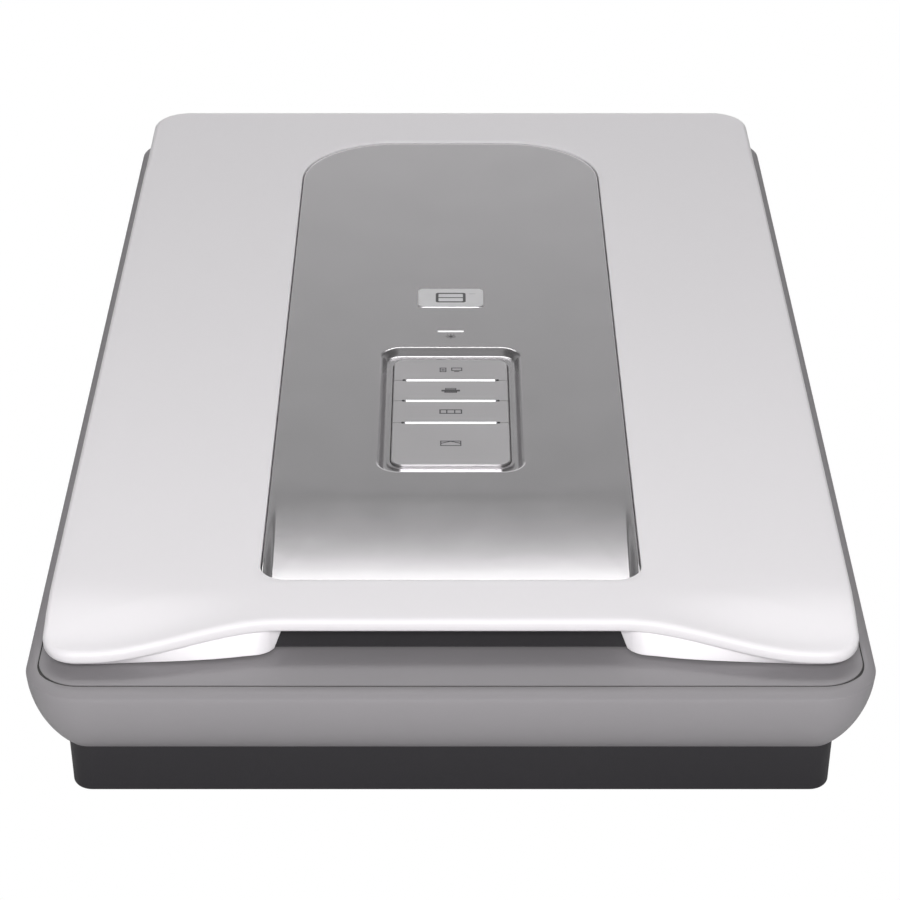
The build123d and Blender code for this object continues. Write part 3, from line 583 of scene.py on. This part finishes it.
def make_slot_end_shades():
    """Dark caps at both ends of each glowing bar between the keys, as thin caps on the keys' gap: painted
    shade for the slot ends.
    """
    high = corner_mm("key_separators")[1]
    for number, row in enumerate(KEY_ROWS[1:4], start=1):
        bm = bmesh.new()
        for side in (-1, 1):
            at = Vector((side * (high.x + 1.0), row, high.z - 0.25)) * MM
            made = bmesh.ops.create_cone(bm, cap_ends=True, segments=20, radius1=0.75 * MM,
                                         radius2=0.6 * MM, depth=0.5 * MM)
            bmesh.ops.translate(bm, verts=made["verts"], vec=at)
        outward(bm)
        piece = new_piece("bar_end_%d" % number, bm)
        piece.data.set_sharp_from_angle(angle=math.radians(40))
        piece.data.materials.append(FINISHES["black_abs"])
        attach(piece, "lid")


# ---- material groups ----
def new_group(name, inputs, outputs):
    tree = bpy.data.node_groups.new(name, "ShaderNodeTree")
    kinds = {3: "NodeSocketVector", 4: "NodeSocketColor"}
    for label, value in inputs.items():
        kind = kinds[len(value)] if isinstance(value, tuple) else "NodeSocketFloat"
        tree.interface.new_socket(label, in_out="INPUT", socket_type=kind).default_value = value
    for label, kind in outputs.items():
        tree.interface.new_socket(label, in_out="OUTPUT", socket_type="NodeSocket" + kind)
    return tree, tree.nodes.new("NodeGroupInput").outputs, tree.nodes.new("NodeGroupOutput").inputs


def add(tree, kind, **settings):
    """A node of one kind with its settings."""
    node = tree.nodes.new("ShaderNode" + kind)
    for name, value in settings.items():
        setattr(node, name, value)
    return node


def noise(tree, coords, scale, detail=2.0, rough=0.5):
    node = add(tree, "TexNoise")
    node.inputs["Detail"].default_value = detail
    node.inputs["Roughness"].default_value = rough
    tree.links.new(coords, node.inputs["Vector"])
    if isinstance(scale, (int, float)):
        node.inputs["Scale"].default_value = scale
    else:
        tree.links.new(scale, node.inputs["Scale"])
    return node.outputs["Fac"]


def calc(tree, operation, first, second):
    node = add(tree, "Math", operation=operation)
    for socket, value in zip(node.inputs, (first, second)):
        if isinstance(value, (int, float)):
            socket.default_value = value
        else:
            tree.links.new(value, socket)
    return node.outputs[0]


def make_skin_group():
    """Moulded or drawn skin: slow patches of shade and gloss, and a fine grain that may be stretched."""
    tree, given, out = new_group("worked_skin", {
        "Colour": (0.5, 0.5, 0.5, 1.0), "Shade Spread": 0.05, "Patch Scale": 30.0, "Grain Scale": 1500.0,
        "Grain Depth": 0.02, "Roughness": 0.5, "Gloss Spread": 0.1, "Stretch": (1.0, 1.0, 1.0),
    }, {"Colour": "Color", "Roughness": "Float", "Normal": "Vector"})
    place = add(tree, "TexCoord").outputs["Object"]
    pull = add(tree, "VectorMath", operation="MULTIPLY")
    tree.links.new(place, pull.inputs[0])
    tree.links.new(given["Stretch"], pull.inputs[1])
    patches = calc(tree, "SUBTRACT", noise(tree, place, given["Patch Scale"], 4.0, 0.6), 0.5)
    grain = noise(tree, pull.outputs[0], given["Grain Scale"], 2.0)
    centred = calc(tree, "SUBTRACT", grain, 0.5)
    shade = calc(tree, "ADD", calc(tree, "MULTIPLY", patches, given["Shade Spread"]), 1.0)
    speck = calc(tree, "MULTIPLY", calc(tree, "MULTIPLY", centred, given["Shade Spread"]), 1.5)
    tone = add(tree, "HueSaturation")
    tree.links.new(calc(tree, "ADD", shade, speck), tone.inputs["Value"])
    tree.links.new(given["Colour"], tone.inputs["Color"])
    tree.links.new(tone.outputs[0], out["Colour"])
    gloss = calc(tree, "MULTIPLY", calc(tree, "ADD", patches, centred), given["Gloss Spread"])
    rough = add(tree, "Clamp")
    tree.links.new(calc(tree, "ADD", given["Roughness"], gloss), rough.inputs["Value"])
    rough.inputs["Min"].default_value = 0.03
    tree.links.new(rough.outputs[0], out["Roughness"])
    bump = add(tree, "Bump")
    bump.inputs["Strength"].default_value = 1.0
    depth = calc(tree, "MULTIPLY", given["Grain Depth"], MM)
    tree.links.new(depth, bump.inputs["Distance"])
    tree.links.new(grain, bump.inputs["Height"])
    tree.links.new(bump.outputs[0], out["Normal"])
    return tree


def above(tree, value, low, high):
    """Nought below one level and one above another, with a straight ramp between them."""
    ramp = add(tree, "MapRange")
    ramp.inputs["From Min"].default_value = low
    ramp.inputs["From Max"].default_value = high
    tree.links.new(value, ramp.inputs["Value"])
    return ramp.outputs[0]


def hairlines(tree, place, degrees, closeness):
    """Fine lines along one direction."""
    mapping = add(tree, "Mapping")
    mapping.inputs["Rotation"].default_value = (0, 0, math.radians(degrees))
    mapping.inputs["Scale"].default_value = (12.0, closeness, 40.0)
    tree.links.new(place, mapping.inputs["Vector"])
    return above(tree, noise(tree, mapping.outputs[0], 1.0, 1.0), 0.68, 0.76)


def make_handling_group():
    """Light wear from use: short hairlines, faint finger marks and settled dust on upward faces."""
    tree, given, out = new_group("handling_wear", {
        "Colour": (0.5, 0.5, 0.5, 1.0), "Roughness": 0.4, "Dust Colour": (0.42, 0.4, 0.37, 1.0), "Dust": 0.03,
        "Hairlines": 0.1, "Finger Marks": 0.08,
    }, {"Colour": "Color", "Roughness": "Float"})
    place = add(tree, "TexCoord").outputs["Object"]
    lines = calc(tree, "MAXIMUM", hairlines(tree, place, 25, 1400.0), hairlines(tree, place, -50, 1100.0))
    marks = above(tree, noise(tree, place, 45.0, 3.0, 0.65), 0.55, 0.75)
    up = add(tree, "SeparateXYZ")
    tree.links.new(add(tree, "NewGeometry").outputs["Normal"], up.inputs[0])
    level = above(tree, up.outputs["Z"], 0.5, 1.0)
    specks = noise(tree, place, 420.0, 4.0, 0.7)
    settled = calc(tree, "MULTIPLY", calc(tree, "MULTIPLY", level, specks), given["Dust"])
    blend = add(tree, "Mix", data_type="RGBA")
    factor, clean, dusty = blend.inputs[0], blend.inputs[6], blend.inputs[7]
    tree.links.new(settled, factor)
    tree.links.new(given["Colour"], clean)
    tree.links.new(given["Dust Colour"], dusty)
    tree.links.new(blend.outputs[2], out["Colour"])
    scuffs = calc(tree, "MULTIPLY", lines, given["Hairlines"])
    prints = calc(tree, "MULTIPLY", marks, given["Finger Marks"])
    total = calc(tree, "ADD", calc(tree, "ADD", given["Roughness"], scuffs), prints)
    tree.links.new(total, out["Roughness"])
    return tree


SKIN = make_skin_group()
WEAR = make_handling_group()


def paint(red, green, blue):
    """A colour as it looks on a screen, turned into the amounts of light that the shader mixes."""
    def linear(part):
        part /= 255
        return part / 12.92 if part <= 0.04045 else ((part + 0.055) / 1.055) ** 2.4
    return (linear(red), linear(green), linear(blue), 1.0)


def finish(name, colour, rough, grain=1500.0, depth=0.02, spread=0.05, gloss=0.1, patch=30.0,
           stretch=(1.0, 1.0, 1.0), dust=0.02, hairlines=0.02, marks=0.05, **plain):
    """One material: worked skin, then wear from handling, into one shader."""
    made = bpy.data.materials.new(name)
    made.use_nodes = True
    tree = made.node_tree
    shader = tree.nodes["Principled BSDF"]
    skin = add(tree, "Group", node_tree=SKIN)
    values = {"Colour": colour, "Shade Spread": spread, "Patch Scale": patch, "Grain Scale": grain,
              "Grain Depth": depth, "Roughness": rough, "Gloss Spread": gloss, "Stretch": stretch}
    for label, value in values.items():
        skin.inputs[label].default_value = value
    wear = add(tree, "Group", node_tree=WEAR)
    for label, value in {"Dust": dust, "Hairlines": hairlines, "Finger Marks": marks}.items():
        wear.inputs[label].default_value = value
    tree.links.new(skin.outputs["Colour"], wear.inputs["Colour"])
    tree.links.new(skin.outputs["Roughness"], wear.inputs["Roughness"])
    tree.links.new(wear.outputs["Colour"], shader.inputs["Base Color"])
    tree.links.new(wear.outputs["Roughness"], shader.inputs["Roughness"])
    tree.links.new(skin.outputs["Normal"], shader.inputs["Normal"])
    for label, value in plain.items():
        shader.inputs[label.replace("_", " ")].default_value = value
    return made


ALONG_X = (0.03, 1.0, 1.0)
ALONG_Y = (1.0, 0.03, 1.0)

FINISHES = {
    "rubber": finish("soft_rubber", paint(38, 38, 40), 0.85, 900, 0.05, dust=0.2),
    "dark_abs": finish("dark_grained_plastic", paint(33, 31, 35), 0.55, 1300, 0.035, 0.08, 0.12),
    "grey_abs": finish("warm_grey_plastic", paint(146, 143, 146), 0.5, 1600, 0.012, 0.03, 0.08),
    "panel_grey": finish("satin_metal_paint", paint(194, 192, 194), 0.22, 2600, 0.006, 0.05, 0.04, dust=0.01,
                         hairlines=0.008, marks=0.015, Metallic=0.85),
    "key_grey": finish("satin_key_paint", paint(181, 179, 181), 0.36, 2200, 0.006, 0.05, 0.05, hairlines=0.01,
                       marks=0.02, Metallic=0.85),
    "lid_white": finish("semi_gloss_white", paint(244, 241, 244), 0.42, 1800, 0.008, 0.015, 0.06, patch=12.0,
                        dust=0.01, hairlines=0.015, marks=0.03),
    "white_abs": finish("matt_white_plastic", paint(226, 225, 224), 0.6, 1400, 0.02, 0.03),
    "clear_glass": finish("clear_float_glass", paint(247, 252, 250), 0.02, 300, 0.0, 0.01, 0.01, dust=0.004,
                          hairlines=0.02, marks=0.03, Transmission_Weight=1.0, IOR=1.52),
    "mirror": finish("front_mirror", paint(235, 238, 240), 0.05, 900, 0.0, 0.01, 0.03, Metallic=1.0),
    "lamp_glass": finish("lamp_tube_glass", paint(250, 248, 240), 0.15, 500, 0.002, 0.02),
    "steel": finish("ground_steel", paint(196, 197, 200), 0.24, 2400, 0.006, 0.08, 0.12, stretch=ALONG_Y,
                    Metallic=1.0),
    "zinc_steel": finish("zinc_plated_steel", paint(188, 189, 184), 0.38, 700, 0.01, 0.15, 0.2, Metallic=1.0),
    "aluminium": finish("drawn_aluminium", paint(205, 206, 208), 0.34, 2000, 0.01, 0.08, 0.12,
                        stretch=ALONG_X, Metallic=1.0),
    "brass": finish("turned_brass", paint(196, 160, 92), 0.3, 1800, 0.01, 0.1, 0.15, Metallic=1.0),
    "black_abs": finish("black_moulded_plastic", paint(28, 28, 30), 0.5, 1500, 0.03, 0.08, 0.1),
    "acetal": finish("natural_acetal", paint(232, 229, 214), 0.38, 900, 0.01, 0.04, 0.08),
    "belt_rubber": finish("belt_rubber_compound", paint(32, 31, 31), 0.75, 1100, 0.05, 0.1, 0.1),
    "board_green": finish("board_lacquer", paint(28, 92, 56), 0.32, 260, 0.02, 0.35, 0.15, patch=160.0),
    "chip_black": finish("dark_print_and_resin", paint(66, 64, 68), 0.5, 1600, 0.01, 0.06),
    "mat_foam": finish("white_foam_sheet", paint(240, 240, 238), 0.9, 1000, 0.08, 0.03, 0.05),
    # The bars between the keys glow by emission: a painted highlight for the lit edges of the slots between
    # the keys.
    "light_bar": finish("frosted_light_bar", paint(250, 250, 252), 0.35, 1500, 0.01, 0.02, 0.05,
                        Emission_Color=(1.0, 1.0, 1.0, 1.0), Emission_Strength=0.6),
    "badge_silver": finish("brushed_badge", paint(224, 223, 225), 0.3, 2600, 0.006, 0.06, 0.1,
                           stretch=ALONG_X, Metallic=0.7),
    "ribbon_grey": finish("ribbon_jacket", paint(176, 177, 180), 0.55, 900, 0.03, 0.12, 0.1,
                          stretch=(1.0, 1.0, 0.05)),
}


def dress_cad_nodes():
    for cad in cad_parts.values():
        for place in cad.material_slots:
            place.material = FINISHES[place.material.name.split(".")[0]]


# ---- studio ----
def make_floor():
    bm = bmesh.new()
    bmesh.ops.create_grid(bm, x_segments=2, y_segments=2, size=6.0)
    floor = new_piece("studio_floor", bm, smooth_shade=False)
    paper = bpy.data.materials.new("white_paper_sweep")
    paper.use_nodes = True
    shader = paper.node_tree.nodes["Principled BSDF"]
    shader.inputs["Base Color"].default_value = (0.75, 0.75, 0.75, 1.0)
    shader.inputs["Roughness"].default_value = 0.9
    glow = add(paper.node_tree, "Emission")
    mix = add(paper.node_tree, "MixShader")
    links = paper.node_tree.links
    links.new(add(paper.node_tree, "LightPath").outputs["Is Camera Ray"], mix.inputs[0])
    links.new(shader.outputs[0], mix.inputs[1])
    links.new(glow.outputs[0], mix.inputs[2])
    links.new(mix.outputs[0], paper.node_tree.nodes["Material Output"].inputs["Surface"])
    floor.data.materials.append(paper)


# Heights run from the horizon (0) to straight overhead (1); each comes with its brightness.
SKY_BASE = ((0.0, 1.0), (0.22, 1.0), (0.38, 0.42), (0.50, 0.2), (0.60, 0.1), (1.0, 0.3))
SKY_STRIP = ((0.0, 0.0), (0.70, 0.0), (0.82, 1.0), (1.0, 1.0))
SKY_FRONT_BACK = (1.0, 1.4)
SKY_SIDE_LEVEL = 0.25
SKY_STRIP_LEVEL = 6.0


def sky_levels(tree, height, stops):
    ramp = add(tree, "ValToRGB")
    while len(ramp.color_ramp.elements) < len(stops):
        ramp.color_ramp.elements.new(0.5)
    for element, (where, level) in zip(ramp.color_ramp.elements, stops):
        element.position = where
        element.color = (level, level, level, 1.0)
    tree.links.new(height, ramp.inputs[0])
    return ramp.outputs[0]


def sky_share(tree, value, low, high, from_level, to_level):
    share = add(tree, "MapRange")
    ends = {"From Min": low, "From Max": high, "To Min": from_level, "To Max": to_level}
    for label, number in ends.items():
        share.inputs[label].default_value = number
    tree.links.new(value, share.inputs["Value"])
    return share.outputs[0]


def make_sky():
    """Soft white surroundings: bright low down, dimmer above and at the sides, a high strip behind."""
    world = bpy.data.worlds.new("soft_studio")
    bpy.context.scene.world = world
    world.use_nodes = True
    tree = world.node_tree
    parts = add(tree, "SeparateXYZ")
    tree.links.new(add(tree, "TexCoord").outputs["Generated"], parts.inputs[0])
    base = sky_levels(tree, parts.outputs["Z"], SKY_BASE)
    strip = sky_levels(tree, parts.outputs["Z"], SKY_STRIP)
    behind = sky_share(tree, parts.outputs["Y"], -0.3, 0.3, *SKY_FRONT_BACK)
    aside = calc(tree, "ABSOLUTE", parts.outputs["X"], 0.0)
    behind = calc(tree, "MULTIPLY", behind, sky_share(tree, aside, 0.2, 0.42, 1.0, SKY_SIDE_LEVEL))
    narrow = sky_share(tree, parts.outputs["Y"], 0.38, 0.52, 0.0, 1.0)
    glow = calc(tree, "MULTIPLY", calc(tree, "MULTIPLY", strip, narrow), SKY_STRIP_LEVEL)
    total = calc(tree, "ADD", calc(tree, "MULTIPLY", base, behind), glow)
    tree.nodes["Background"].inputs["Color"].default_value = (1.0, 1.0, 1.0, 1.0)
    tree.links.new(total, tree.nodes["Background"].inputs["Strength"])


def area_light(name, at, toward, size, power):
    data = bpy.data.lights.new(name, "AREA")
    data.shape = "RECTANGLE"
    data.size, data.size_y = size
    data.energy = power
    lamp = bpy.data.objects.new(name, data)
    bpy.context.scene.collection.objects.link(lamp)
    lamp.location = at
    lamp.visible_camera = False
    lamp.rotation_euler = (Vector(toward) - Vector(at)).to_track_quat("-Z", "Y").to_euler()
    return lamp


def make_camera():
    data = bpy.data.cameras.new("studio_camera")
    data.sensor_width = 36.0
    data.lens = 118.65
    camera = bpy.data.objects.new("studio_camera", data)
    bpy.context.scene.collection.objects.link(camera)
    camera.location = (-0.0003, -1.1226, 0.627)
    camera.rotation_euler = (math.radians(90 - 28.7), 0, 0)
    bpy.context.scene.camera = camera


make_camera()
make_sky()
make_floor()
area_light("front_soft_box", (0.0, -1.3, 0.78), (0, -0.2, 0.03), (0.9, 0.45), 14.0)
bpy.context.scene.view_settings.view_transform = "Standard"

dress_cad_nodes()
for maker, finish_name in ((make_lid_cover, "lid_white"), (make_centre_panel, "panel_grey"),
                           (make_body_shell, "grey_abs")):
    maker().data.materials.append(FINISHES[finish_name])
make_key_marks()
# the dark strip in the seam groove is painted shade
make_seam_shade_strip()
make_lamp_mark()
make_slot_end_shades()
